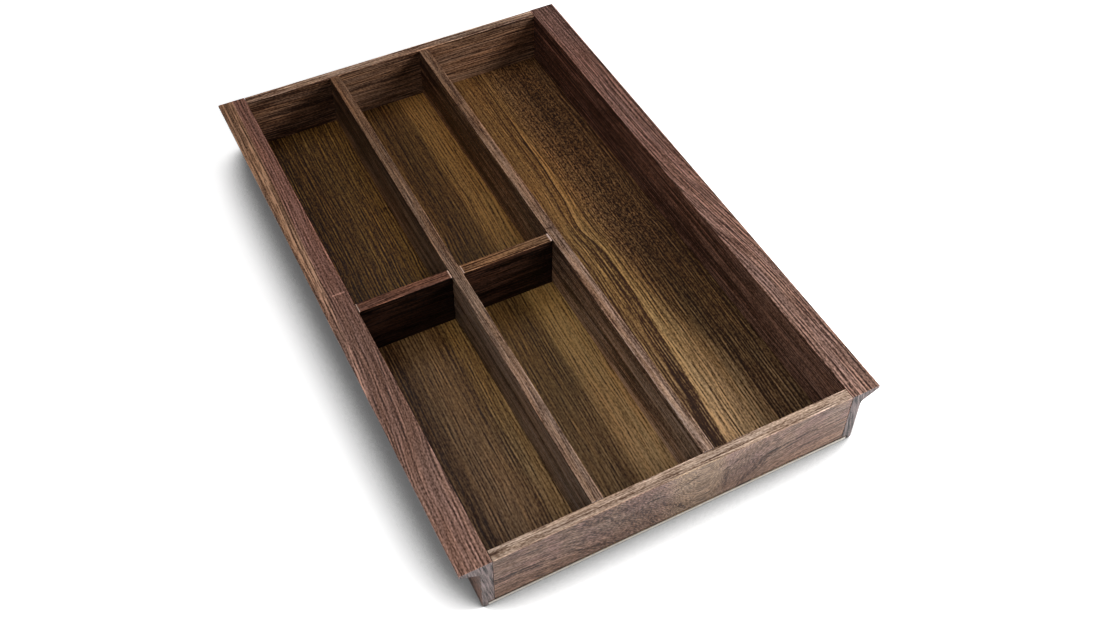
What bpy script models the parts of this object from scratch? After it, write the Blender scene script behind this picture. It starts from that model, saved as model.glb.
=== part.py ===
"""Walnut cutlery tray that drops into a kitchen drawer.

Two long rails carry a flange that can be trimmed to the drawer. A front panel, a back panel,
two long dividers and two cross dividers stand between them on a thin veneered bottom and make
five compartments. Hidden dowels join the boards end to face, and small steel pins hold the
bottom from below. Nothing moves.

Metres, +X towards the right rail, +Y towards the back, +Z up. The origin is at the middle of
the underside.
"""
import math

import bmesh
import bpy
from mathutils import Matrix, Vector

# Compartments, measured between the faces of the boards
inner_length = 0.460
inner_depth = 0.0464
left_bay_width = 0.0719
middle_bay_width = 0.0724
right_bay_width = 0.1028
front_bay_length = 0.2091

# Boards
board_thickness = 0.0083
bottom_thickness = 0.0036
rail_back_overrun = 0.0005
joint_gap = 0.0003
arris_rounding = 0.0004
foot_rounding = 0.0015

# Flange and rabbet of a rail
flange_reach = 0.0136
flange_tip_thickness = 0.0024
flange_tip_rounding = 0.0011
flange_root_fillet = 0.004
flange_slope = math.radians(28)
rabbet_share = 0.55

# Dowels
dowel_diameter = 0.004
dowel_chamfer = 0.0005
dowel_depth_in_face = 0.005
dowel_depth_in_end = 0.015
dowel_height_shares = {"lower": 0.28, "upper": 0.72}

# Pins under the bottom
pin_length = 0.012
pin_shank_diameter = 0.0012
pin_head_diameter = 0.002
pin_head_thickness = 0.0006
pin_point_length = 0.001
pin_recess = 0.0003
rail_pin_count = 4
panel_pin_count = 2
divider_pin_count = 3
cross_pin_count = 1

# Fineness of the mesh
arris_steps = 2
fillet_steps = 5
dowel_sides = 16
pin_sides = 12
smooth_angle = math.radians(30)
weld_distance = 0.000001
cut_overrun = 0.002

# Sizes that follow
inner_width = left_bay_width + middle_bay_width + right_bay_width + 2 * board_thickness
rail_width = board_thickness + flange_reach
rail_length = inner_length + 2 * board_thickness + rail_back_overrun
rabbet_width = rabbet_share * board_thickness
rabbet_height = bottom_thickness + joint_gap
overall_height = rabbet_height + inner_depth

# Places across the tray, from left to right
left_rail_face = -inner_width / 2
left_divider_start = left_rail_face + left_bay_width
left_divider_end = left_divider_start + board_thickness
right_divider_start = left_divider_end + middle_bay_width
right_divider_end = right_divider_start + board_thickness
right_rail_face = inner_width / 2

# Places along the tray, from front to back
front_face = -rail_length / 2
front_panel_back = front_face + board_thickness
cross_start = front_panel_back + front_bay_length
cross_end = cross_start + board_thickness
back_panel_front = front_panel_back + inner_length
back_face = back_panel_front + board_thickness

# Colours read from the photograph, as linear values, with roughness
rail_walnut = ((0.150, 0.084, 0.064), 0.52)
panel_walnut = ((0.175, 0.108, 0.078), 0.50)
divider_walnut = ((0.130, 0.078, 0.056), 0.42)
veneer_walnut = ((0.150, 0.098, 0.048), 0.50)
dowel_beech = ((0.560, 0.380, 0.220), 0.60)
pin_steel = ((0.550, 0.550, 0.560), 0.35)


def clear_scene():
    """Start from an empty scene."""
    for thing in list(bpy.data.objects):
        bpy.data.objects.remove(thing, do_unlink=True)


def paint(thing, finish, metallic=0.0):
    """Give an object its own material."""
    colour, roughness = finish
    material = bpy.data.materials.new(thing.name + "_finish")
    material.use_nodes = True
    shader = material.node_tree.nodes["Principled BSDF"]
    shader.inputs["Base Color"].default_value = (*colour, 1.0)
    shader.inputs["Roughness"].default_value = roughness
    shader.inputs["Metallic"].default_value = metallic
    thing.data.materials.append(material)


def link_mesh(name, shape, place):
    """Turn a finished bmesh into a named object at a place."""
    bmesh.ops.recalc_face_normals(shape, faces=shape.faces)
    mesh = bpy.data.meshes.new(name)
    shape.to_mesh(mesh)
    shape.free()
    thing = bpy.data.objects.new(name, mesh)
    thing.location = place
    bpy.context.scene.collection.objects.link(thing)
    return thing


def ease_arrises(thing):
    """Round every sharp edge of a board a little, as sanding does."""
    bevel = thing.modifiers.new("eased_arrises", "BEVEL")
    bevel.width = arris_rounding
    bevel.segments = arris_steps
    bevel.limit_method = "ANGLE"
    bevel.angle_limit = smooth_angle


def board(name, low, high, finish):
    """A planed board between two opposite corners."""
    low, high = Vector(low), Vector(high)
    shape = bmesh.new()
    bmesh.ops.create_cube(shape, size=1.0)
    bmesh.ops.scale(shape, vec=high - low, verts=shape.verts)
    thing = link_mesh(name, shape, (low + high) / 2)
    ease_arrises(thing)
    paint(thing, finish)
    return thing


def rounded(before, corner, after, radius):
    """Points of a corner between two straight runs, rounded to a radius."""
    corner = Vector(corner)
    back = (Vector(before) - corner).normalized()
    ahead = (Vector(after) - corner).normalized()
    half_angle = math.acos(back.dot(ahead)) / 2
    centre = corner + (back + ahead).normalized() * radius / math.sin(half_angle)
    spoke = corner + back * radius / math.tan(half_angle) - centre
    turn = math.pi - 2 * half_angle
    if back.x * ahead.y - back.y * ahead.x > 0:
        turn = -turn
    turns = [Matrix.Rotation(turn * step / fillet_steps, 2) for step in range(fillet_steps + 1)]
    return [centre + part_turn @ spoke for part_turn in turns]


def rail_outline():
    """Section of a rail: outwards from its inner face, and up from the drawer's floor."""
    tip_top = Vector((rail_width, overall_height))
    tip_foot = Vector((rail_width, overall_height - flange_tip_thickness))
    root = Vector((board_thickness, tip_foot.y - flange_reach * math.tan(flange_slope)))
    foot = Vector((board_thickness, 0))
    rabbet_mouth = Vector((rabbet_width, 0))
    rabbet_corner = Vector((rabbet_width, rabbet_height))
    points = [Vector((0, rabbet_height)), Vector((0, overall_height)), tip_top]
    points += rounded(tip_top, tip_foot, root, flange_tip_rounding)
    points += rounded(tip_foot, root, foot, flange_root_fillet)
    points += rounded(root, foot, rabbet_mouth, foot_rounding)
    return points + [rabbet_mouth, rabbet_corner]


def rail(name, inner_face, outwards):
    """A side rail: wall, overhanging flange and rabbet for the bottom, in one length."""
    shape = bmesh.new()
    corners = [shape.verts.new((outwards * point.x, 0, point.y)) for point in rail_outline()]
    section = shape.faces.new(corners)
    swept = bmesh.ops.extrude_face_region(shape, geom=[section])
    far_corners = [item for item in swept["geom"] if isinstance(item, bmesh.types.BMVert)]
    bmesh.ops.translate(shape, vec=(0, rail_length, 0), verts=far_corners)
    thing = link_mesh(name, shape, (inner_face, front_face, 0))
    thing.data.shade_smooth()
    thing.data.set_sharp_from_angle(angle=smooth_angle)
    ease_arrises(thing)
    paint(thing, rail_walnut)
    return thing


def turned(name, profile, sides, turn, places):
    """One turned shape at each of the places, all in one object.

    The profile is a list of (radius, height) from the lower end of its axis to the upper end.
    """
    shape = bmesh.new()
    for place in places:
        points = [shape.verts.new((radius, 0, height)) for radius, height in profile]
        edges = [shape.edges.new(pair) for pair in zip(points, points[1:])]
        bmesh.ops.spin(shape, geom=points + edges, cent=(0, 0, 0), axis=(0, 0, 1),
                       angle=2 * math.pi, steps=sides, use_merge=True)
        fresh = [vert for vert in shape.verts if not vert.tag]
        bmesh.ops.transform(shape, matrix=Matrix.Translation(place - places[0]) @ turn, verts=fresh)
        for vert in fresh:
            vert.tag = True
    bmesh.ops.remove_doubles(shape, verts=shape.verts, dist=weld_distance)
    thing = link_mesh(name, shape, places[0])
    thing.data.shade_smooth()
    thing.data.set_sharp_from_angle(angle=smooth_angle)
    return thing


def bore(boards, cutter):
    """Cut the cutter's holes into each of the boards."""
    cutter.hide_render = True
    cutter.display_type = "WIRE"
    for thing in boards:
        cut = thing.modifiers.new(cutter.name, "BOOLEAN")
        cut.operation = "DIFFERENCE"
        cut.object = cutter


def dowel_profile(length):
    """Half section of a dowel about the middle of its length, with chamfered ends."""
    radius, half = dowel_diameter / 2, length / 2
    return [(0, -half), (radius - dowel_chamfer, -half), (radius, dowel_chamfer - half),
            (radius, half - dowel_chamfer), (radius - dowel_chamfer, half), (0, half)]


def dowel_hole_profile(length):
    """Half section of the plain round hole that a dowel sits in."""
    radius, half = dowel_diameter / 2 + joint_gap, length / 2 + joint_gap
    return [(0, -half), (radius, -half), (radius, half), (0, half)]


def dowels(name, boards, joint, axis, behind, ahead):
    """A lower and an upper dowel through a joint at (x, y), and their holes in the boards.

    They reach the distance behind and the distance ahead of the joint along the axis.
    """
    axis = Vector(axis)
    turn = axis.to_track_quat("Z", "Y").to_matrix().to_4x4()
    length = behind + ahead
    middle = axis * (ahead - behind) / 2
    places = []
    for level, share in dowel_height_shares.items():
        place = Vector((*joint, rabbet_height + share * inner_depth)) + middle
        paint(turned(f"{name}_{level}", dowel_profile(length), dowel_sides, turn, [place]), dowel_beech)
        places.append(place)
    bore(boards, turned(f"{name}_holes", dowel_hole_profile(length), dowel_sides, turn, places))


def pin_profile():
    """Half section of a pin, from the underside of its head to its point."""
    shank, head = pin_shank_diameter / 2, pin_head_diameter / 2
    return [(0, 0), (head, 0), (head, pin_head_thickness), (shank, pin_head_thickness),
            (shank, pin_length - pin_point_length), (0, pin_length)]


def pin_hole_profile():
    """Half section of a pin's hole, which is open at the underside."""
    shank, head = pin_shank_diameter / 2 + joint_gap, pin_head_diameter / 2 + joint_gap
    mouth, step = -pin_recess - cut_overrun, pin_head_thickness + joint_gap
    end = pin_length + joint_gap
    return [(0, mouth), (head, mouth), (head, step), (shank, step), (shank, end), (0, end)]


def pins(name, boards, start, end, count):
    """A row of pins driven up through the bottom into the board above it, and their holes."""
    start, end = Vector((*start, pin_recess)), Vector((*end, pin_recess))
    places = [start.lerp(end, (number + 0.5) / count) for number in range(count)]
    upright = Matrix.Identity(4)
    for number, place in enumerate(places, 1):
        pin = turned(f"{name}_{number}", pin_profile(), pin_sides, upright, [place])
        paint(pin, pin_steel, metallic=1.0)
    bore(boards, turned(f"{name}_holes", pin_hole_profile(), pin_sides, upright, places))


def upright_board(name, left, front, right, back, finish):
    """A board that stands on the bottom and reaches up to the rails' tops."""
    return board(name, (left, front, rabbet_height), (right, back, overall_height), finish)


clear_scene()

# Rails, with the flange outwards
left_rail = rail("left_rail", left_rail_face, -1)
right_rail = rail("right_rail", right_rail_face, 1)

# Bottom, flush with both panels' outer faces and let into the rails
bottom_panel = board(
    "bottom_panel",
    (left_rail_face - rabbet_width + joint_gap, front_face, 0),
    (right_rail_face + rabbet_width - joint_gap, back_face, bottom_thickness),
    veneer_walnut,
)

# End panels, between the rails
front_panel = upright_board(
    "front_panel", left_rail_face + joint_gap, front_face, right_rail_face - joint_gap, front_panel_back,
    panel_walnut,
)
back_panel = upright_board(
    "back_panel", left_rail_face + joint_gap, back_panel_front, right_rail_face - joint_gap, back_face,
    panel_walnut,
)

# Long dividers, from panel to panel
left_divider = upright_board(
    "left_long_divider", left_divider_start, front_panel_back + joint_gap, left_divider_end,
    back_panel_front - joint_gap, divider_walnut,
)
right_divider = upright_board(
    "right_long_divider", right_divider_start, front_panel_back + joint_gap, right_divider_end,
    back_panel_front - joint_gap, divider_walnut,
)

# Cross dividers, which part the left and middle bays
left_cross = upright_board(
    "left_cross_divider", left_rail_face + joint_gap, cross_start, left_divider_start - joint_gap,
    cross_end, divider_walnut,
)
middle_cross = upright_board(
    "middle_cross_divider", left_divider_end + joint_gap, cross_start, right_divider_start - joint_gap,
    cross_end, divider_walnut,
)

# Middles of the boards, where dowels and pins go
front_middle = (front_face + front_panel_back) / 2
back_middle = (back_panel_front + back_face) / 2
cross_middle = (cross_start + cross_end) / 2
left_divider_middle = (left_divider_start + left_divider_end) / 2
right_divider_middle = (right_divider_start + right_divider_end) / 2
left_rail_pin_line = left_rail_face - rabbet_width / 2
right_rail_pin_line = right_rail_face + rabbet_width / 2
to_right, to_back = (1, 0, 0), (0, 1, 0)
in_face, in_end = dowel_depth_in_face, dowel_depth_in_end

# Corner dowels, from each rail into the ends of the panels
for panel, side, middle in ((front_panel, "front", front_middle), (back_panel, "back", back_middle)):
    dowels(f"{side}_left_dowel", (left_rail, panel), (left_rail_face, middle), to_right, in_face, in_end)
    dowels(f"{side}_right_dowel", (right_rail, panel), (right_rail_face, middle), to_right, in_end, in_face)

# Dowels from the panels into the ends of the long dividers
for divider, side, middle in (
    (left_divider, "left", left_divider_middle), (right_divider, "right", right_divider_middle),
):
    dowels(f"{side}_divider_front_dowel", (front_panel, divider), (middle, front_panel_back), to_back,
           in_face, in_end)
    dowels(f"{side}_divider_back_dowel", (back_panel, divider), (middle, back_panel_front), to_back,
           in_end, in_face)

# Dowels of the cross dividers: into the rail, right through the left divider, into the right one
through = in_end + board_thickness / 2
dowels("cross_left_dowel", (left_rail, left_cross), (left_rail_face, cross_middle), to_right,
       in_face, in_end)
dowels("cross_middle_dowel", (left_cross, left_divider, middle_cross), (left_divider_middle, cross_middle),
       to_right, through, through)
dowels("cross_right_dowel", (middle_cross, right_divider), (right_divider_start, cross_middle), to_right,
       in_end, in_face)

# Pins through the bottom into the rails, panels and dividers
for name, thing, line in (
    ("left_rail_pin", left_rail, left_rail_pin_line), ("right_rail_pin", right_rail, right_rail_pin_line),
):
    pins(name, (bottom_panel, thing), (line, front_face), (line, back_face), rail_pin_count)
for name, thing, line in (
    ("front_panel_pin", front_panel, front_middle), ("back_panel_pin", back_panel, back_middle),
):
    pins(name, (bottom_panel, thing), (left_rail_face, line), (right_rail_face, line), panel_pin_count)
for name, thing, line in (
    ("left_divider_pin", left_divider, left_divider_middle),
    ("right_divider_pin", right_divider, right_divider_middle),
):
    pins(name, (bottom_panel, thing), (line, front_panel_back), (line, back_panel_front), divider_pin_count)
for name, thing, start, end in (
    ("left_cross_pin", left_cross, left_rail_face, left_divider_start),
    ("middle_cross_pin", middle_cross, left_divider_end, right_divider_start),
):
    pins(name, (bottom_panel, thing), (start, cross_middle), (end, cross_middle), cross_pin_count)
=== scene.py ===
"""Looks of the walnut cutlery tray: wood, light, floor and the photograph's camera.

Every pattern is drawn by shader nodes. Places in the patterns are millimetres of the tray's drawing:
x to the right from the left rail's inner face, y to the back from the front panel's inner face, and z
up from the tray's top. Tones run from dark to pale wood, with 0.5 for a board's own tint.
"""
import math

import bpy
from mathutils import Matrix, Vector


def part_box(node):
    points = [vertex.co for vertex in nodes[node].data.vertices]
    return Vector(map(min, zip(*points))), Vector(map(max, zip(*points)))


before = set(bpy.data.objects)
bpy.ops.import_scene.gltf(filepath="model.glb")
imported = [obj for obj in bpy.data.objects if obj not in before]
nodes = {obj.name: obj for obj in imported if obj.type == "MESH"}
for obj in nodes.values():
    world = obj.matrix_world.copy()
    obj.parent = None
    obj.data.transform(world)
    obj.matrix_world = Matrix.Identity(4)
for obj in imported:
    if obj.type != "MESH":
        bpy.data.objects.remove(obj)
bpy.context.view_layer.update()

# Camera, as fitted to the photograph
IMAGE_WIDTH, IMAGE_HEIGHT = 1100, 619
FOCAL_PIXELS = 1241.3
OPTICAL_CENTRE_ROW = 260
YAW, PITCH, ROLL = math.radians(27.369), math.radians(47.513), math.radians(-0.216)
CAMERA_PLACE = (-0.27011, -0.57858, 0.71517)
SENSOR_WIDTH = 36

# Lamps: name, place, target, size, watts
LAMPS = (
    ("right_box", (0.65, -0.41, 0.45), (0, -0.20, 0), 0.32, 8.8),
    ("left_box", (-0.55, 0.15, 0.90), (0, 0.075, 0), 0.40, 0.8),
    ("back_box", (0.05, 0.45, 0.90), (0, 0.20, 0), 0.40, 1.0),
    ("front_fill", (-0.25, -0.45, 0.45), (0, -0.225, 0), 0.30, 1.15),
)
WORLD_STRENGTH = 0.04

# Floor and backdrop, in metres. The floor lies just below the tray's own underside, so that the two
# planes don't mix.
FLOOR_SIZE, FLOOR_DROP = 24, 0.0002
BACKDROP_RADIUS, BACKDROP_HEIGHT = 10, 7
BACKDROP_TONE = 0.04
SHADOW_REACH = 0.15
SHADOW_TONE, FLOOR_TONE = 0.10, 0.80

# From the scene's metres to the drawing's millimetres
MILLIMETRES = 1000
DRAWING_ZERO = (131.85, 230.25, -50.3)

# Colours of small things on the wood: pale painted highlights at some boards' ends, painted shade in a
# seam, the pores' own dark and a painted highlight along the arrises. The last two multiply the wood's own
# colour.
GLINT_COLOUR = (0.62, 0.46, 0.38)
SEAM_SHADOW_COLOUR = (0.02, 0.012, 0.008)
PORE_SHADE = (0.38, 0.30, 0.26)
ARRIS_HIGHLIGHT = (2.0, 1.9, 1.85)

# Tones at the ends of the colour ramps, and the colour at each step as a share of the board's tint
LOW_TONE, HIGH_TONE = -0.5, 1.5
TONE_STEPS = ((-0.4, (0.10, 0.05, 0.035)), (0.0, (0.23, 0.155, 0.12)), (0.28, (0.61, 0.545, 0.50)),
              (0.5, (1, 1, 1)), (0.72, (1.35, 1.38, 1.42)), (1.0, (1.9, 2.0, 2.1)), (1.4, (2.9, 3.1, 3.3)))
PALEST = 0.9

# How far a face's normal turns for it to count as a top, as a side that the photograph shows or as an end
TOP_TURN, SHOWN_TURN, END_TURN = (0.5, 0.8), (-0.3, -0.6), (0.6, 0.8)

# Layers of the grain: how often each changes in a millimetre, across the grain and along it
SLOW_SWAY, QUICK_SWAY = (0.012, 0.006), (0.05, 0.022)
RING_FADING, DRIFT, BANDS = (0.11, 0.012), (0.06, 0.008), (0.17, 0.005)
LINES, FIBRES, SPECKS, PORES = (0.85, 0.005), (0.92, 0.050), (1.15, 0.5), (0.90, 0.12)
PATCHES, THREADS = (0.045, 0.012), (0.26, 0.016)
END_RAYS, END_PORES, END_RINGS = (0.90, 1.0), (0.8, 1.0), (0.22, 1.0)

# How far the sways move the grain, and the distance between the two places whose difference is a line
SLOW_SWAY_WIDTH, QUICK_SWAY_WIDTH = 12, 1.8
LINE_STEP = 1.2

# Widths over which marks, the painted highlight on the arrises and the painted shade of a seam fade.
# The seam's are heights above it.
MARK_BLUR = 0.4
ARRIS_FADE, SEAM_FADE = (1.0, 0.25), (1.8, 0.7)
# How strongly the pale painted highlights at board ends show
GLINT_STRENGTH = 0.75

# Heights of the grain that the light catches, in metres
WOOD_RELIEF, STEEL_RELIEF = 0.0004, 0.0001


def add_camera():
    ahead = Vector((math.sin(YAW) * math.cos(PITCH), math.cos(YAW) * math.cos(PITCH), -math.sin(PITCH)))
    right = ahead.cross(Vector((0, 0, 1))).normalized()
    down = ahead.cross(right)
    right, down = (math.cos(ROLL) * right + math.sin(ROLL) * down,
                   math.cos(ROLL) * down - math.sin(ROLL) * right)
    data = bpy.data.cameras.new("camera")
    data.sensor_width = SENSOR_WIDTH
    data.lens = FOCAL_PIXELS / IMAGE_WIDTH * SENSOR_WIDTH
    data.shift_y = (OPTICAL_CENTRE_ROW - IMAGE_HEIGHT / 2) / IMAGE_WIDTH
    data.clip_start = 0.01
    camera = bpy.data.objects.new("camera", data)
    turn = Matrix((right, -down, -ahead)).transposed()
    camera.matrix_world = Matrix.Translation(CAMERA_PLACE) @ turn.to_4x4()
    bpy.context.scene.collection.objects.link(camera)
    bpy.context.scene.camera = camera


def add_lamp(name, place, target, size, watts):
    data = bpy.data.lights.new(name, "AREA")
    data.shape = "SQUARE"
    data.size = size
    data.energy = watts
    light = bpy.data.objects.new(name, data)
    light.location = place
    light.rotation_euler = (Vector(target) - Vector(place)).to_track_quat("-Z", "Y").to_euler()
    bpy.context.scene.collection.objects.link(light)


class Tree:
    """Short ways to add shader nodes and join them. Values are sockets or plain numbers."""

    def __init__(self, owner):
        owner.use_nodes = True
        self.nodes, self.links = owner.node_tree.nodes, owner.node_tree.links
        self.nodes.clear()

    def add(self, kind, inputs=None, **settings):
        node = self.nodes.new("ShaderNode" + kind)
        for key, value in settings.items():
            setattr(node, key, value)
        for key, value in (inputs or {}).items():
            self.put(node.inputs[key], value)
        return node

    def put(self, socket, value):
        if isinstance(value, bpy.types.NodeSocket):
            self.links.new(value, socket)
        elif socket.type == "RGBA" and len(value) == 3:
            socket.default_value = (*value, 1)
        else:
            socket.default_value = value

    def finish(self, shader):
        self.links.new(shader.outputs[0], self.add("OutputMaterial").inputs[0])

    def math(self, operation, *values):
        node = self.add("Math", operation=operation)
        for socket, value in zip(node.inputs, values):
            self.put(socket, value)
        return node.outputs[0]

    def sum(self, first, *others):
        for other in others:
            first = self.math("ADD", first, other)
        return first

    def times(self, first, *others):
        for other in others:
            first = self.math("MULTIPLY", first, other)
        return first

    def minus(self, first, second):
        return self.math("SUBTRACT", first, second)

    def range(self, value, low, high, to_low=0.0, to_high=1.0, smooth=True):
        """The value moved from one range to the other and held at its ends."""
        node = self.add("MapRange", {"Value": value, "From Min": low, "From Max": high, "To Min": to_low,
                                     "To Max": to_high})
        node.interpolation_type = "SMOOTHSTEP" if smooth else "LINEAR"
        return node.outputs["Result"]

    def within(self, value, low, high, blur):
        """One between low and high, fading over the blur on either side of both."""
        aside = self.math("ABSOLUTE", self.sum(value, -(low + high) / 2))
        return self.range(aside, (high - low) / 2 + blur, (high - low) / 2 - blur)

    def curve(self, value, points):
        """A smooth curve through (value, result) points, flat beyond them."""
        ins, outs = [point[0] for point in points], [point[1] for point in points]
        low, high = min(ins), max(ins)
        bottom, top = min(outs), max(outs)
        if top == bottom:
            top = bottom + 1
        node = self.add("FloatCurve")
        line = node.mapping.curves[0]
        for number, (place, result) in enumerate(points):
            spot = ((place - low) / (high - low), (result - bottom) / (top - bottom))
            if number in (0, len(points) - 1):
                line.points[0 if number == 0 else -1].location = spot
            else:
                line.points.new(*spot)
        node.mapping.update()
        self.put(node.inputs["Value"], self.range(value, low, high, smooth=False))
        return self.range(node.outputs[0], 0, 1, bottom, top, smooth=False)

    def place(self):
        """Place on the piece in the drawing's millimetres, as three values."""
        place = self.add("TexCoord").outputs["Object"]
        scaled = self.add("VectorMath", {0: place, 1: (MILLIMETRES,) * 3, 2: DRAWING_ZERO},
                          operation="MULTIPLY_ADD")
        return self.add("SeparateXYZ", {0: scaled.outputs[0]}).outputs

    def normal(self):
        return self.add("SeparateXYZ", {0: self.add("NewGeometry").outputs["True Normal"]}).outputs

    def vector(self, x, y, z):
        return self.add("CombineXYZ", {0: x, 1: y, 2: z}).outputs[0]

    def noise(self, vector, detail=2.0, roughness=0.5):
        return self.add("TexNoise", {"Vector": vector, "Scale": 1.0, "Detail": detail,
                                     "Roughness": roughness}).outputs["Fac"]

    def line_noise(self, value, detail=2.0, roughness=0.5):
        node = self.add("TexNoise", noise_dimensions="1D")
        for key, setting in (("W", value), ("Scale", 1.0), ("Detail", detail), ("Roughness", roughness)):
            self.put(node.inputs[key], setting)
        return node.outputs["Fac"]

    def mix(self, factor, first, second, blend="MIX"):
        node = self.add("Mix", data_type="RGBA", blend_type=blend)
        for socket, value in zip((node.inputs[0], node.inputs[6], node.inputs[7]), (factor, first, second)):
            self.put(socket, value)
        return node.outputs[2]

    def shaded(self, factor, colour, shade):
        """The colour multiplied by a shade, as far as the factor says."""
        return self.mix(factor, colour, self.mix(1.0, colour, shade, "MULTIPLY"))

    def ramp(self, value, stops):
        node = self.add("ValToRGB", {0: value})
        elements = node.color_ramp.elements
        while len(elements) < len(stops):
            elements.new(0.5)
        for element, (place, colour) in zip(elements, stops):
            element.position = place
            element.color = (*colour, 1)
        return node.outputs[0]


def wood_colour(tree, level, tint):
    """Colour from dark late wood to pale early wood around a board's tint. The level is the tone's
    place between the lowest and the highest tone.
    """
    return tree.ramp(level, [((tone - LOW_TONE) / (HIGH_TONE - LOW_TONE),
                              [min(part * share, PALEST) for part, share in zip(tint, shares)])
                             for tone, shares in TONE_STEPS])


def board_box(name):
    """Lowest and highest corner of a board in the drawing."""
    return ([MILLIMETRES * value + zero for value, zero in zip(corner, DRAWING_ZERO)]
            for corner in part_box(name))


class Grain:
    """Noise around zero, stretched along a board's grain. The seed gives each board its own."""

    def __init__(self, tree, seed, fine):
        self.tree, self.seed, self.fine = tree, seed, fine

    def field(self, across, beside, length, layer, detail=1.0):
        """One layer of the grain, or any noise with its own changes in a millimetre."""
        tree, (across_scale, run_scale) = self.tree, layer
        place = tree.vector(tree.sum(tree.times(across, across_scale), self.seed),
                            tree.times(beside, across_scale),
                            tree.sum(tree.times(length, run_scale), self.seed * 0.7))
        return tree.sum(tree.noise(place, detail), -0.5)

    def fine_field(self, across, beside, length, layer, detail=1.0):
        """A layer that is finer on some boards."""
        return self.field(across, beside, length, (layer[0] * self.fine, layer[1]), detail)

    def lines(self, across, beside, length, layer):
        """Fine lines without broad bands: the difference between two near places."""
        here, there = (self.fine_field(place, beside, length, layer, 0.0)
                       for place in (across, self.tree.sum(across, LINE_STEP)))
        return self.tree.minus(here, there)


def growth_rings(tree, grain, across, beside, run, spacing):
    """Slow tone of the growth rings, and their dark late lines, which fade in and out."""
    place = tree.sum(tree.times(across, 1 / spacing), grain.seed * 3.7)
    ring_tone = tree.sum(tree.times(tree.line_noise(place, 2.0, 0.6), 2.0), -1.0)
    strength = tree.range(grain.field(across, beside, run, RING_FADING), -0.15, 0.12, 0.15, 1.0)
    phase = tree.math("FRACT", tree.sum(place, tree.times(tree.line_noise(tree.times(place, 0.3), 1.0), 3.0)))
    late_line = tree.times(tree.range(phase, 0.35, 0.90), tree.range(phase, 1.0, 0.93), strength)
    return ring_tone, late_line


def end_grain(tree, grain, first, second, tint):
    """End grain: upright rays, pores and faint rings."""
    leaning = tree.sum(first, tree.times(second, 0.18))
    rays = grain.field(leaning, tree.times(second, 0.08), 0.0, END_RAYS)
    pores = tree.range(grain.field(first, second, 0.0, END_PORES), 0.05, 0.2)
    rings = grain.field(first, tree.times(second, 0.4), 0.0, END_RINGS)
    value = tree.sum(1.0, tree.times(rays, 4.8), tree.times(pores, -0.6), rings)
    return tree.mix(1.0, tint, tree.vector(value, value, value), "MULTIPLY")


def distance_to_edge(tree, name, place):
    """Distance to the board's nearest edge: the middle one of the distances to its three pairs of faces."""
    first, second, third = (tree.math("MINIMUM", tree.sum(value, -least), tree.minus(most, value))
                            for value, least, most in zip(place, *board_box(name)))
    nearer, farther = tree.math("MINIMUM", first, second), tree.math("MAXIMUM", first, second)
    return tree.math("MAXIMUM", nearer, tree.math("MINIMUM", farther, third))


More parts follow.
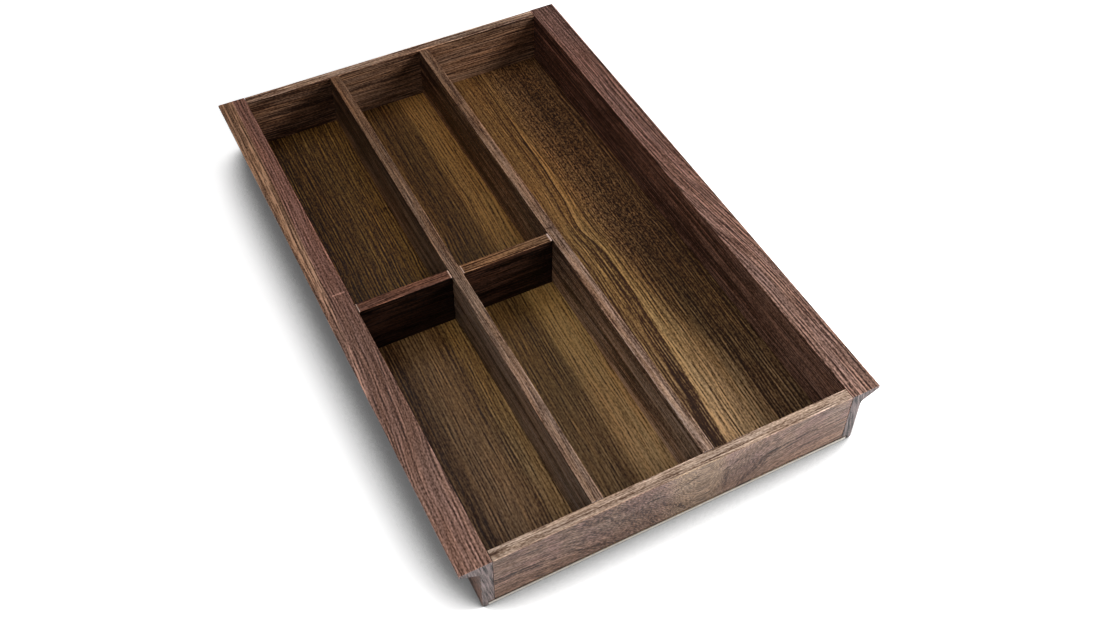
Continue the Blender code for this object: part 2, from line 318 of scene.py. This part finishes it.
def wood(name, along, seed, tint, top=None, unseen=None, end_tint=(0.20, 0.16, 0.15), blush=None, hue=0.10,
         weights=(1.0, 0.0), zero=0.0, shift=((0, 0), (1, 0)), top_bend=1.0, wobble=1.0,
         rings=0.08, spacing=2.6, late=0.25, broad=0.08, lines=0.55, fibre=0.5, speckle=0.55, pore=0.2,
         fine=1.0, face_fine=1.8, face_bands=0.4, top_lines=0.0, contrast=None,
         side_painted_light=None, top_painted_light=None, figure=None, marks=(), seam=None, edge_colour=None,
         arris=0.4, roughness=0.50, relief=0.25, gleam=0.30):
    """Wood, as a material.

    Colours: the tint is for all faces, but the tops may have their own and so may the side faces that
    the photograph doesn't show. A shown face's tint can be painted shade, as the near-black tint of the
    cross dividers, and a top's own tint painted sheen, as on the back panel. The blush shades the
    colour from place to place, and the hue is how far the colour wanders.
    Grain: it runs along X or Y. Its rings follow a coordinate across it, which counts from zero, with
    weights giving its share from each direction across. The shift bends the grain along its length,
    the top_bend is how much of that the tops take, and the wobble is how far it wanders. The spacing
    is between rings, and fine is how much finer the lines, fibres, specks and pores are.
    Tones: rings, late, broad, lines, fibre, speckle and pore are strengths, from broad to fine. The
    face_fine is how much stronger the fine ones are on the shown side faces. The slopes paint light
    and shade along those faces and the tops from end to end, the figure adds a board's own pattern,
    the contrast changes the fine grain from place to place, and each mark is a small spot on the top,
    changed by its gain, or from 1 up a pale painted highlight. The seam is the height of a dark line
    of painted shade in the joint at the board's foot.
    Surface: the arris is how strong a painted highlight along the edges is, and the gleam is how
    strongly the face reflects.
    """
    material = bpy.data.materials.new(name)
    tree = Tree(material)
    grain = Grain(tree, seed, fine)
    times, total, field = tree.times, tree.sum, grain.field
    x, y, z = tree.place()
    run, first, second = (y, x, z) if along == "Y" else (x, y, z)

    # Tops, the side faces that the photograph shows, the other side faces, and the ends
    normal = tree.normal()
    facing, ending = (normal[0], normal[1]) if along == "Y" else (normal[1], normal[0])
    is_top = tree.range(normal[2], *TOP_TURN)
    is_side = tree.minus(1.0, is_top)
    is_shown = times(tree.range(facing, *SHOWN_TURN), is_side)
    is_end = tree.range(tree.math("ABSOLUTE", ending), *END_TURN)

    # The coordinate across the grain, with its slow and quick wander and its bend. The fine grain of
    # the side faces of a board along Y is left unbent.
    sway = total(times(field(first, second, run, SLOW_SWAY), SLOW_SWAY_WIDTH * wobble),
                 times(field(first, second, run, QUICK_SWAY), QUICK_SWAY_WIDTH * wobble))
    unbent = total(times(first, weights[0]), times(second, weights[1]), -zero, sway)
    bend = times(tree.curve(run, shift), tree.range(is_top, 0, 1, 1.0, top_bend))
    across = tree.minus(unbent, bend)
    fine_across = tree.minus(unbent, times(bend, is_top)) if along == "Y" else across
    beside = total(times(second, weights[0]), times(first, -weights[1]))

    ring_tone, late_line = growth_rings(tree, grain, across, beside, run, spacing)
    drift = field(across, beside, run, DRIFT, 2.0)
    bands = times(field(first, second, run, BANDS), is_side,
                  tree.range(is_shown, 0, 1, 0.25 + 0.4 * face_bands, face_bands * 2))
    pores = tree.range(grain.fine_field(fine_across, beside, run, PORES), 0.09, 0.15)
    strength = tree.range(is_shown, 0, 1, 1.0, face_fine)
    line, fibres, specks = (times(part, strength) for part in (
        grain.lines(fine_across, beside, run, LINES), grain.lines(fine_across, beside, run, FIBRES),
        grain.fine_field(fine_across, beside, run, SPECKS, 0.0)))
    if contrast:
        lined, specked = contrast(tree, x, y)
        line, fibres, specks = times(line, lined), times(fibres, lined), times(specks, specked)

    tone = total(0.5, times(ring_tone, rings), times(drift, broad * 3), times(line, lines * 2),
                 times(fibres, fibre * 2), times(specks, speckle * 2), times(late_line, -late), bands)
    # Painted light and shade from end to end: on the shown side faces, and on the tops
    if side_painted_light:
        tone = total(tone, times(tree.curve(run, side_painted_light), is_shown))
    if top_lines:
        tone = total(tone, times(line, top_lines * 2, is_top))
    if top_painted_light:
        tone = total(tone, times(tree.curve(run, top_painted_light), is_top))
    if figure:
        tone = total(tone, figure(tree, x, y, z, across, field))
    # Marks from 1 up are painted highlights: pale glints at a board's ends
    painted_glints = 0.0
    for (left, right), (front, back), gain in marks:
        spot = times(tree.within(x, left, right, MARK_BLUR), tree.within(y, front, back, MARK_BLUR))
        if gain < 1:
            tone = total(tone, times(spot, gain))
        else:
            painted_glints = tree.math("MAXIMUM", painted_glints, spot)

    level = tree.range(tone, LOW_TONE, HIGH_TONE, smooth=False)
    colour = wood_colour(tree, level, tint)
    if top:
        colour = tree.mix(is_top, colour, wood_colour(tree, level, top))
    if unseen:
        colour = tree.mix(tree.minus(is_side, is_shown), colour, wood_colour(tree, level, unseen))
    if marks:
        colour = tree.mix(times(painted_glints, is_top, GLINT_STRENGTH), colour, GLINT_COLOUR)
    colour = tree.mix(times(pores, pore), colour, PORE_SHADE, "MULTIPLY")
    if blush:
        factor, shade = blush(tree, x, y, z, field)
        colour = tree.shaded(factor, colour, shade)
    patches = tree.range(field(first, second, run, PATCHES), -0.2, 0.2)
    colour = tree.shaded(patches, colour, (1 + hue, 1 - hue * 0.15, 1 - hue))
    threads = tree.range(field(fine_across, beside, run, THREADS), -0.18, 0.18)
    colour = tree.mix(1.0, colour, tree.mix(threads, (1 - 0.4 * hue, 1, 1 + 0.7 * hue),
                                            (1 + 0.4 * hue, 1, 1 - 0.7 * hue)), "MULTIPLY")
    colour = tree.mix(is_end, colour, end_grain(tree, grain, first, second, end_tint))
    if edge_colour:
        colour = tree.mix(tree.range(tree.math("ABSOLUTE", normal[2]), 0.8, 0.6), colour,
                          edge_colour(tree, x, y, z))
    # Painted shade: a dark line in the joint at the board's foot
    if seam:
        colour = tree.mix(tree.range(z, *(seam + height for height in SEAM_FADE)), colour, SEAM_SHADOW_COLOUR)
    # Painted highlight along the board's edges, broken up by the fibres
    if arris:
        painted_edge_highlight = times(tree.range(distance_to_edge(tree, name, (x, y, z)), *ARRIS_FADE),
                     tree.range(fibres, -0.25, 0.15, 0.3, 1.0))
        colour = tree.shaded(times(painted_edge_highlight, arris), colour, ARRIS_HIGHLIGHT)

    height = total(times(fibres, 0.8), times(pores, -0.35), times(line, 0.3))
    bump = tree.add("Bump", {"Height": height, "Strength": relief, "Distance": WOOD_RELIEF})
    dullness = total(roughness, times(fibres, 0.3), times(pores, 0.15))
    tree.finish(tree.add("BsdfPrincipled", {"Base Color": colour, "Roughness": dullness,
                                            "Normal": bump.outputs[0], "Specular IOR Level": gleam}))
    return material


def ply_edge(tree, x, y, z):
    """Layers of the bottom's cut edge: thin walnut veneers outside and a pale core of three plies. The top
    layer is near black: painted shade in the joint under the front panel.
    """
    veneer, outer_ply, inner_ply = (0.30, 0.20, 0.13), (0.90, 0.86, 0.80), (0.76, 0.66, 0.56)
    low, high = (corner[2] for corner in board_box("bottom_panel"))
    # The near-black top of this ramp is painted shade in the joint under the front panel
    layer = tree.ramp(tree.range(z, low, high, smooth=False), [
        (0.0, veneer), (0.10, veneer), (0.14, (0.88, 0.84, 0.78)), (0.36, outer_ply),
        (0.40, (0.74, 0.64, 0.54)), (0.56, inner_ply), (0.60, outer_ply), (0.76, outer_ply),
        (0.82, (0.06, 0.035, 0.02))])
    streaks = tree.noise(tree.vector(tree.times(x, 0.25), tree.times(y, 0.25), tree.times(z, 3)))
    value = tree.range(streaks, 0.3, 0.7, 0.75, 1.15)
    return tree.mix(1.0, layer, tree.vector(value, value, value), "MULTIPLY")


def steel():
    """Bright steel of the pins, with drawn streaks and a little dulling."""
    material = bpy.data.materials.new("pin_steel")
    tree = Tree(material)
    x, y, z = tree.place()
    streaks = tree.noise(tree.vector(tree.times(x, 4), tree.times(y, 4), tree.times(z, 0.6)))
    dull = tree.noise(tree.vector(x, y, z))
    colour = tree.mix(tree.range(dull, 0.4, 0.65), (0.62, 0.62, 0.61), (0.42, 0.41, 0.39))
    bump = tree.add("Bump", {"Height": streaks, "Strength": 0.2, "Distance": STEEL_RELIEF})
    dullness = tree.sum(0.22, tree.times(streaks, 0.18), tree.times(dull, 0.1))
    tree.finish(tree.add("BsdfPrincipled", {"Base Color": colour, "Metallic": 1.0, "Roughness": dullness,
                                            "Normal": bump.outputs[0]}))
    return material


def stroke(tree, u, v, start, end, width):
    """One along a short line, fading over its width and towards its ends."""
    length = math.dist(start, end)
    du, dv = (end[0] - start[0]) / length, (end[1] - start[1]) / length
    along = tree.sum(tree.times(u, du), tree.times(v, dv), -(start[0] * du + start[1] * dv))
    aside = tree.sum(tree.times(u, -dv), tree.times(v, du), start[0] * dv - start[1] * du)
    ends = tree.times(tree.range(along, -1.5, 2.5), tree.range(along, length + 1.5, length - 2.5))
    return tree.times(tree.range(tree.math("ABSOLUTE", aside), width, 0.15 * width), ends)


# Dark lines of the front's figure: start and end as (x, z), width, tone
FRONT_STROKES = (
    ((-2, -24), (35, -27.5), 1.4, -1.1), ((-2, -27.5), (33, -29.5), 1.1, -0.6),
    ((36, -29), (62, -33.5), 1.3, -0.55), ((58, -32.5), (94, -47), 1.8, -0.42),
    ((2, -33), (46, -38.5), 1.3, -0.40), ((105, -15), (122, -15.6), 1.4, -1.0),
    ((128, -16), (145, -11), 1.4, -0.6), ((118, -22), (143, -47), 1.8, -0.55),
    ((164, -18), (176, -12), 1.4, -0.7), ((203, -21), (177, -44), 4.5, -0.36),
    ((200, -22), (230, -18.5), 1.5, -0.7), ((228, -19.5), (264, -20), 1.4, -0.55),
    ((167, -17), (168, -42), 3.0, -0.30), ((72, -4), (100, -32), 2.4, -0.24),
    ((86, -3), (116, -38), 2.4, -0.26), ((160, -8), (188, -15), 2.0, -0.20),
    ((62, -14), (84, -36), 2.2, -0.18), ((96, -8), (112, -30), 2.0, -0.20),
    ((112, -40), (112, -47), 4.0, -0.35), ((60, -4), (78, -12), 3.0, -0.20),
)


def front_face(tree, y):
    """One on the front panel's outer face."""
    low, _ = board_box("front_panel")
    return tree.range(y, low[1] + 0.7, low[1] + 0.3)


def front_figure(tree, x, y, z, across, field):
    """The front's own dark lines, and the pale tongue in the middle of its figure."""
    sway = tree.times(field(x, z, 0.0, (0.09, 1.0), 2.0), 5.0)
    u, v = tree.sum(x, sway), tree.sum(z, sway)
    tongue = tree.times(tree.range(across, 28, 38), tree.range(x, 116, 126))
    shade = tree.curve(x, ((-8, 0.04), (30, 0.04), (60, -0.04), (100, -0.10), (120, 0.0), (150, 0.06),
                           (172, -0.06), (190, -0.07), (205, 0.0), (272, 0.0)))
    lines = 0.0
    for start, end, width, gain in FRONT_STROKES:
        lines = tree.sum(lines, tree.times(stroke(tree, u, v, start, end, width), gain))
    broken = tree.range(field(z, x, 0.0, (0.55, 1.0)), -0.16, 0.14, 0.35, 1.25)
    return tree.times(tree.sum(tree.times(tongue, 0.20), shade, tree.times(lines, broken)),
                      front_face(tree, y))


def front_blush(tree, x, y, z, field):
    """The front is mauve above, warmer below, and more olive in the tongue of its figure."""
    patches = tree.range(field(x, z, 0.0, (0.06, 1.0)), -0.12, 0.12)
    above = tree.mix(patches, (1.0, 1.0, 0.99), (1.02, 0.965, 1.05))
    shade = tree.mix(tree.range(z, -18, -42), above, (1.06, 0.985, 0.93))
    tongue = tree.times(tree.range(x, 116, 134), tree.range(x, 172, 158))
    return front_face(tree, y), tree.mix(tongue, shade, (1.0, 1.02, 0.90))


def right_leaf(tree, x):
    """One on the floor's right leaf of veneer, which starts in the right bay."""
    return tree.range(x, 178, 182)


def flecked_zone(tree, x, y):
    """Where the floor is flecked: the middle of the right bay, towards the back."""
    return tree.times(tree.range(x, 206, 220), tree.range(x, 264, 246), tree.range(y, 170, 240))


def veneer_contrast(tree, x, y):
    """How strong the floor's fine lines and specks are."""
    strength = tree.curve(x, ((-8, 0.85), (56, 0.85), (62, 1.0), (100, 0.8), (124, 0.8), (134, 1.2),
                              (152, 1.2), (162, 0.85), (184, 0.85), (194, 1.12), (272, 1.15)))
    back_left = tree.times(tree.range(y, 200, 260), tree.range(x, 72, 48))
    strength = tree.times(strength, tree.range(back_left, 0, 1, 1.0, 1.25))
    calm = tree.times(tree.range(y, 200, 300), right_leaf(tree, x), tree.range(x, 208, 198))
    zone = flecked_zone(tree, x, y)
    lined = tree.times(strength, tree.range(zone, 0, 1, 1.0, 0.65), tree.range(calm, 0, 1, 1.0, 0.65))
    return lined, tree.times(strength, tree.range(zone, 0, 1, 0.74, 1.35))


def left_leaves(tree, x, y):
    """Bands of the left and middle bays, which differ in front of and behind the cross dividers. The dark
    start by the left rail is partly the veneer's own band and partly painted shadow of the rail.
    """
    front = tree.curve(x, (
        (-8, -0.30), (12, -0.30), (18, -0.20), (23, -0.01), (34, 0.06), (48, 0.07), (53, -0.05),
        (57, -0.06), (61, 0.22), (72, 0.26), (92, 0.08), (98, 0.06), (106, 0.16), (113, 0.0),
        (117, -0.04), (124, 0.12), (128, 0.40), (134, 0.60), (150, 0.62), (166, 0.25), (178, 0.10)))
    back = tree.curve(x, (
        (-8, -0.32), (10, -0.32), (18, -0.23), (30, -0.20), (42, -0.13), (54, -0.13), (60, -0.01),
        (72, -0.05), (92, 0.0), (104, -0.12), (116, -0.06), (126, 0.08), (132, 0.46), (150, 0.56),
        (166, 0.20), (178, 0.10)))
    at_back = tree.range(y, 190, 280)
    return tree.sum(tree.times(front, tree.minus(1.0, at_back)), tree.times(back, at_back))


def veneer_figure(tree, x, y, z, across, field):
    """The floor's own streaks. On the right leaf, a dark line winds towards the back, and the streaks
    are placed by their distance from it.
    """
    times, total, leaf = tree.times, tree.sum, right_leaf(tree, x)
    course = tree.curve(y, ((-8, 190), (25, 192), (50, 193.5), (80, 197), (110, 199), (150, 201),
                            (190, 203.5), (210, 203.2), (230, 201.5), (242, 199), (250, 198), (262, 199),
                            (275, 201), (290, 202.5), (310, 203.5), (340, 205), (380, 206), (468, 209)))
    wander = times(field(x, 0.0, y, (0.04, 0.02)), 1.5)
    place = total(tree.minus(x, course), wander)

    # The dark line and the streaks beside it
    width = tree.curve(y, ((-8, 9.5), (80, 9), (110, 7), (150, 5), (200, 4.2), (250, 3), (300, 2.4),
                           (380, 2), (468, 1.6)))
    dark_line = times(tree.range(place, 0.3, -0.3), tree.range(total(place, width), -1.2, 0.6), -0.30)
    beside_line = tree.curve(place, (
        (-18, 0), (-14, 0.04), (-9.5, 0.06), (-8.6, -0.05), (-7.2, -0.30), (-5.8, -0.02), (-4.6, 0.06),
        (-3.2, 0.02), (-1, 0), (0, 0.10), (0.6, 0.26), (2.4, 0.24), (3.8, 0.10), (4.6, 0.06),
        (5.2, -0.16), (6.0, 0.06), (9.2, 0.06), (9.8, -0.08), (10.6, 0.03), (14.5, 0.02), (15.2, -0.10),
        (16.2, 0.02), (24, 0.0), (30, 0)))
    knee = times(tree.range(y, 120, 200), tree.range(y, 460, 320),
                 tree.curve(place, ((-3, 0), (-1.6, 0), (-0.9, -0.50), (-0.3, -0.50), (0.2, 0.24),
                                    (1.0, 0.24), (3, 0))))
    left_dark = times(tree.range(place, 0.5, -0.5), leaf,
                      tree.curve(y, ((20, -0.28), (100, -0.25), (150, -0.20), (200, -0.12), (260, -0.02))))

    # The pale band to its right in front, and the darker wood beyond that band
    band_end = tree.curve(y, ((-8, 46), (60, 43), (90, 36), (120, 26), (160, 15), (200, 11), (260, 8),
                              (468, 6)))
    past_band = tree.minus(place, band_end)
    pale_band = times(tree.range(y, 200, 60), tree.range(place, -1, 1), tree.range(x, 237, 233),
                      tree.range(past_band, 4, -2), 0.31)
    beyond = times(tree.range(past_band, -2, 4), leaf,
                   tree.curve(y, ((20, -0.05), (60, -0.12), (200, -0.12), (300, 0.0))))
    right_side = tree.curve(x, ((178, 0.0), (190, -0.02), (206, -0.03), (220, -0.09), (233, -0.12),
                                (238, -0.28), (250, -0.20), (262, -0.24), (272, -0.28)))

    # Darker patches, the flecks, and the knot of the back left bay
    back = times(leaf, tree.range(y, 280, 360), -0.07)
    strip = times(tree.range(x, 180, 181), tree.range(x, 186, 183), -0.16)
    middle = times(tree.range(y, 150, 190), tree.range(y, 270, 220), tree.range(x, 178, 190), -0.05)
    fleck = tree.range(field(x, 0.0, y, (0.85, 0.30), 0.0), 0.04, 0.20)
    flecks = times(fleck, flecked_zone(tree, x, y), 0.34)
    knot = total(times(stroke(tree, x, y, (63, 338), (71, 342), 2.2), -0.35),
                 times(stroke(tree, x, y, (60, 352), (68, 352), 7), 0.12))
    return total(left_leaves(tree, x, y), right_side, dark_line, beside_line, knee, left_dark, pale_band,
                 beyond, back, strip, middle, flecks, knot)


def veneer_blush(tree, x, y, z, field):
    """The floor is greyer in front and golden further back, and its right side turns redder brown."""
    warm = tree.mix(tree.range(y, 200, 330), (1, 1, 1), (1.06, 0.94, 0.84))
    shade = tree.mix(tree.range(y, 200, 20), warm, (1.0, 1.07, 1.5))
    back_left = tree.times(tree.range(x, 76, 66), tree.range(y, 200, 240))
    shade = tree.mix(back_left, shade, (1.06, 0.97, 0.72))
    front_left = tree.times(tree.range(x, 60, 50), tree.range(y, 220, 200), 0.35)
    shade = tree.mix(front_left, shade, (1.0, 1.0, 1.6))
    middle = tree.times(tree.range(x, 36, 52), tree.range(x, 182, 178))
    shade = tree.shaded(middle, shade, (1.0, 0.98, 0.89))
    red = tree.times(tree.range(x, 205, 222), tree.range(y, 110, 240), 0.8)
    return 1.0, tree.mix(red, shade, (1.08, 0.94, 1.08))


def warm_back(tree, x, y, z, field):
    """A board that is warmer and less grey towards the back: in part the wood's own colour, in part a
    painted sheen that greys the front.
    """
    return tree.range(y, 60, 380), (1.12, 0.96, 0.78)


def red_back(tree, x, y, z, field):
    """A board that is redder towards the back: in part the wood's own colour, in part a painted sheen that
    greys the front.
    """
    return tree.range(y, 60, 400), (1.13, 0.98, 0.98)


def beyond_tan_edge(tree, x, y):
    """Distance from the slanting edge of the left rail's tan zone, less than zero inside it."""
    edge = tree.curve(y, ((125, -22), (180, -17), (240, -13.5), (340, -11.5), (460, -9.5)))
    return tree.minus(x, edge)


def rail_figure(tree, x, y, z, across, field):
    """Broken tan streaks on the outer side of the left rail's back."""
    place = beyond_tan_edge(tree, x, y)
    streak = tree.range(field(place, z, y, (0.50, 0.010), 0.0), -0.06, 0.12)
    broken = tree.range(field(place, z, y, (0.85, 0.08)), -0.14, 0.12, 0.15, 1.15)
    return tree.times(streak, broken, tree.range(place, 0.6, -1.0), 1.15)


def rail_blush(tree, x, y, z, field):
    """The tan streaks are yellower than the rest of the rail, which turns redder towards the back: in part
    the wood's own colour, in part a painted sheen that greys the front.
    """
    zone = tree.range(beyond_tan_edge(tree, x, y), 0.6, -1.5)
    return tree.range(y, 150, 300), tree.mix(zone, (1.17, 0.99, 0.97), (1.15, 1.09, 0.82))


# Boards. Where a board has slopes, they paint light and shade from end to end along its shown faces and its
# tops.
BOARDS = {
    "left_rail": dict(
        along="Y", seed=1.3, tint=(0.172, 0.094, 0.069), end_tint=(0.182, 0.139, 0.133), hue=0.06,
        blush=rail_blush, figure=rail_figure, spacing=2.8, lines=0.38, fibre=0.42, speckle=0.62,
        shift=((-10, -14), (25, -13), (120, -7), (220, 0), (470, 1)),
        top_painted_light=((0, 0.11), (120, 0.0), (190, -0.05), (300, 0.04), (400, 0.11)),
        marks=(((-11.5, -2), (231, 232.2), 0.9),)),
    "right_rail": dict(
        along="Y", seed=5.1, tint=(0.155, 0.086, 0.061), top=(0.139, 0.079, 0.059),
        end_tint=(0.128, 0.097, 0.094), hue=0.06, blush=red_back, weights=(0.97, -0.24), zero=255.8,
        wobble=0.4, rings=0.04, spacing=2.2, late=0.12, lines=0.85, fibre=0.50, speckle=0.80, fine=1.2,
        face_fine=1.3, top_bend=0.65,
        shift=((-10, 0), (95, 0), (112, -1.5), (160, -10), (200, -18), (225, -22), (280, -25),
               (340, -26), (400, -27), (470, -28)),
        side_painted_light=((0, 0.03), (230, -0.23), (450, -0.46)),
        top_painted_light=((0, 0.09), (120, 0.05), (230, 0.07), (330, 0.02), (450, -0.03))),
    "front_panel": dict(
        along="X", seed=2.2, tint=(0.200, 0.130, 0.098), top=(0.315, 0.225, 0.166), hue=0.04,
        blush=front_blush, figure=front_figure, weights=(0.8, 1.0), wobble=0.5, rings=0.06,
        spacing=4.2, late=0.08, lines=0.28, fibre=0.40, speckle=0.50, top_lines=0.05, face_fine=1.15,
        # The seam at the foot of its front is a line of painted shade in the joint.
        gleam=0.25, seam=-46.4, top_bend=0.0,
        shift=((-10, 0), (0, 0), (40, -4), (60, -9), (75, -16), (90, -26), (110, -43), (125, -58),
               (140, -74), (150, -79), (160, -73), (166, -62), (175, -51), (185, -41), (195, -33),
               (205, -29), (225, -26), (275, -25))),
    # The back panel's top tint, far paler than its faces', is painted sheen; its arris gets a strong painted
    # highlight, and its slope paints each bay's shade, darker towards the divider on the bay's right.
    "back_panel": dict(
        along="X", seed=7.7, tint=(0.104, 0.056, 0.032), top=(0.34, 0.22, 0.152), weights=(0.6, 1.0),
        late=0.4, face_bands=0.1, face_fine=1.3, top_lines=0.05, arris=0.9,
        side_painted_light=((0, -0.08), (40, -0.14), (68, -0.26), (74, -0.02), (82, 0.08), (120, 0.0), (150, -0.10),
               (158, 0.10), (180, 0.20), (220, 0.14), (262, -0.18))),
    "left_long_divider": dict(
        along="Y", seed=3.4, tint=(0.132, 0.094, 0.068), top=(0.178, 0.115, 0.079), blush=warm_back,
        weights=(1.0, 0.85), lines=0.38, fibre=0.34, speckle=0.5, face_bands=1.6,
        side_painted_light=((20, 0.16), (380, -0.16)), top_painted_light=((20, 0.05), (380, -0.12))),
    "right_long_divider": dict(
        along="Y", seed=8.8, tint=(0.187, 0.123, 0.084), top=(0.200, 0.130, 0.092), blush=warm_back,
        weights=(0.6, 1.0), lines=0.42, fibre=0.38, speckle=0.55, face_bands=1.4,
        side_painted_light=((20, 0.24), (380, -0.66)), top_painted_light=((20, 0.08), (380, 0.02)),
        marks=(((152, 158), (221, 222.2), -0.5),)),
    # The cross dividers' shown faces have a near-black tint, painted shade; their other faces keep the wood's
    # own tint. Their slopes darken the shown faces further towards the right end, painted shade, and their
    # marks from 1 up are pale painted highlights at the ends.
    "left_cross_divider": dict(
        along="X", seed=4.9, tint=(0.008, 0.003, 0.0015), top=(0.110, 0.051, 0.034),
        unseen=(0.10, 0.056, 0.040), weights=(1.0, 0.6), gleam=0.12,
        side_painted_light=((5, -0.02), (30, -0.06), (60, -0.40)),
        marks=(((70.6, 71.8), (207, 217), 1.0), ((0.1, 1.1), (208, 218), 1.0))),
    "middle_cross_divider": dict(
        along="X", seed=6.3, tint=(0.017, 0.007, 0.004), top=(0.148, 0.080, 0.041),
        unseen=(0.105, 0.060, 0.040), weights=(1.0, 0.6), gleam=0.12,
        side_painted_light=((84, 0.03), (110, -0.02), (140, -0.30)),
        marks=(((80.3, 81.4), (208, 218), 1.0), ((150.8, 152.4), (208, 218), 1.0))),
    "bottom_panel": dict(
        along="Y", seed=9.2, tint=(0.190, 0.107, 0.036), hue=0.06, blush=veneer_blush,
        figure=veneer_figure, contrast=veneer_contrast, edge_colour=ply_edge, wobble=0.6,
        spacing=3.4, late=0.22, broad=0.05, lines=0.46, fibre=0.62, speckle=0.76, face_fine=1.0,
        arris=0,
        shift=((-10, -4), (25, -3.5), (80, -1.5), (150, 0.5), (205, 1.6), (225, 1.2), (250, -0.5),
               (290, 1.2), (340, 2.5), (470, 4)),
        marks=(((213.6, 214.6), (69.4, 70.6), 0.7), ((244.6, 245.4), (244, 245.6), 0.7),
               ((237.6, 238.6), (97.2, 98.4), 0.8))),
}


def dress(names, material):
    for name in names:
        for slot in nodes[name].material_slots:
            slot.material = material


def seen_directly(tree):
    """One for rays from the camera and for those that reflections and glass send on."""
    rays = tree.add("LightPath").outputs
    return tree.math("MAXIMUM", tree.math("MAXIMUM", rays["Is Camera Ray"], rays["Is Glossy Ray"]),
                     rays["Is Transmission Ray"])


def stage(name, tone, glow):
    """Makes the new object a white surface of the stage, lifted by a glow that lights nothing."""
    material = bpy.data.materials.new(name)
    tree = Tree(material)
    tone, glow = tone(tree), glow(tree)
    matt = tree.add("BsdfDiffuse", {"Color": tree.vector(tone, tone, tone)})
    light = tree.add("Emission", {"Color": (1, 1, 1), "Strength": tree.times(seen_directly(tree), glow)})
    tree.finish(tree.add("AddShader", {0: matt.outputs[0], 1: light.outputs[0]}))
    bpy.context.object.name = name
    bpy.context.object.data.materials.append(material)


def floor_tone(tree):
    """Held back close to the tray, where the photograph keeps a soft shadow."""
    openness = tree.add("AmbientOcclusion", {"Distance": SHADOW_REACH}, samples=24).outputs["AO"]
    return tree.range(openness, 0.48, 0.74, SHADOW_TONE, FLOOR_TONE, smooth=False)


def floor_glow(tree):
    """As the tone, and rising to white far from the lamps."""
    place = tree.add("TexCoord").outputs["Object"]
    distance = tree.add("VectorMath", {0: place}, operation="LENGTH").outputs["Value"]
    return tree.sum(floor_tone(tree), tree.range(distance, 0.5, 1.3, 0.0, 1 - FLOOR_TONE))


add_camera()
for lamp in LAMPS:
    add_lamp(*lamp)

world = bpy.data.worlds.new("world")
bpy.context.scene.world = world
tree = Tree(world)
background = tree.add("Background", {"Color": (1, 1, 1), "Strength": WORLD_STRENGTH})
tree.links.new(background.outputs[0], tree.add("OutputWorld").inputs[0])

bpy.ops.mesh.primitive_plane_add(size=FLOOR_SIZE, location=(0, 0, -FLOOR_DROP))
stage("floor", floor_tone, floor_glow)
bpy.ops.mesh.primitive_cylinder_add(radius=BACKDROP_RADIUS, depth=BACKDROP_HEIGHT, vertices=64,
                                    end_fill_type="NOTHING")
stage("backdrop", lambda tree: BACKDROP_TONE, lambda tree: 1.0)

for name, settings in BOARDS.items():
    dress([name], wood(name, **settings))
dress([name for name in nodes if "_dowel_" in name],
      wood("beech_dowel", along="X", seed=6.6, tint=(0.52, 0.33, 0.18), end_tint=(0.40, 0.25, 0.14),
           late=0.15, speckle=0.3, arris=0))
dress([name for name in nodes if "_pin_" in name], steel())

bpy.context.scene.view_settings.view_transform = "Standard"
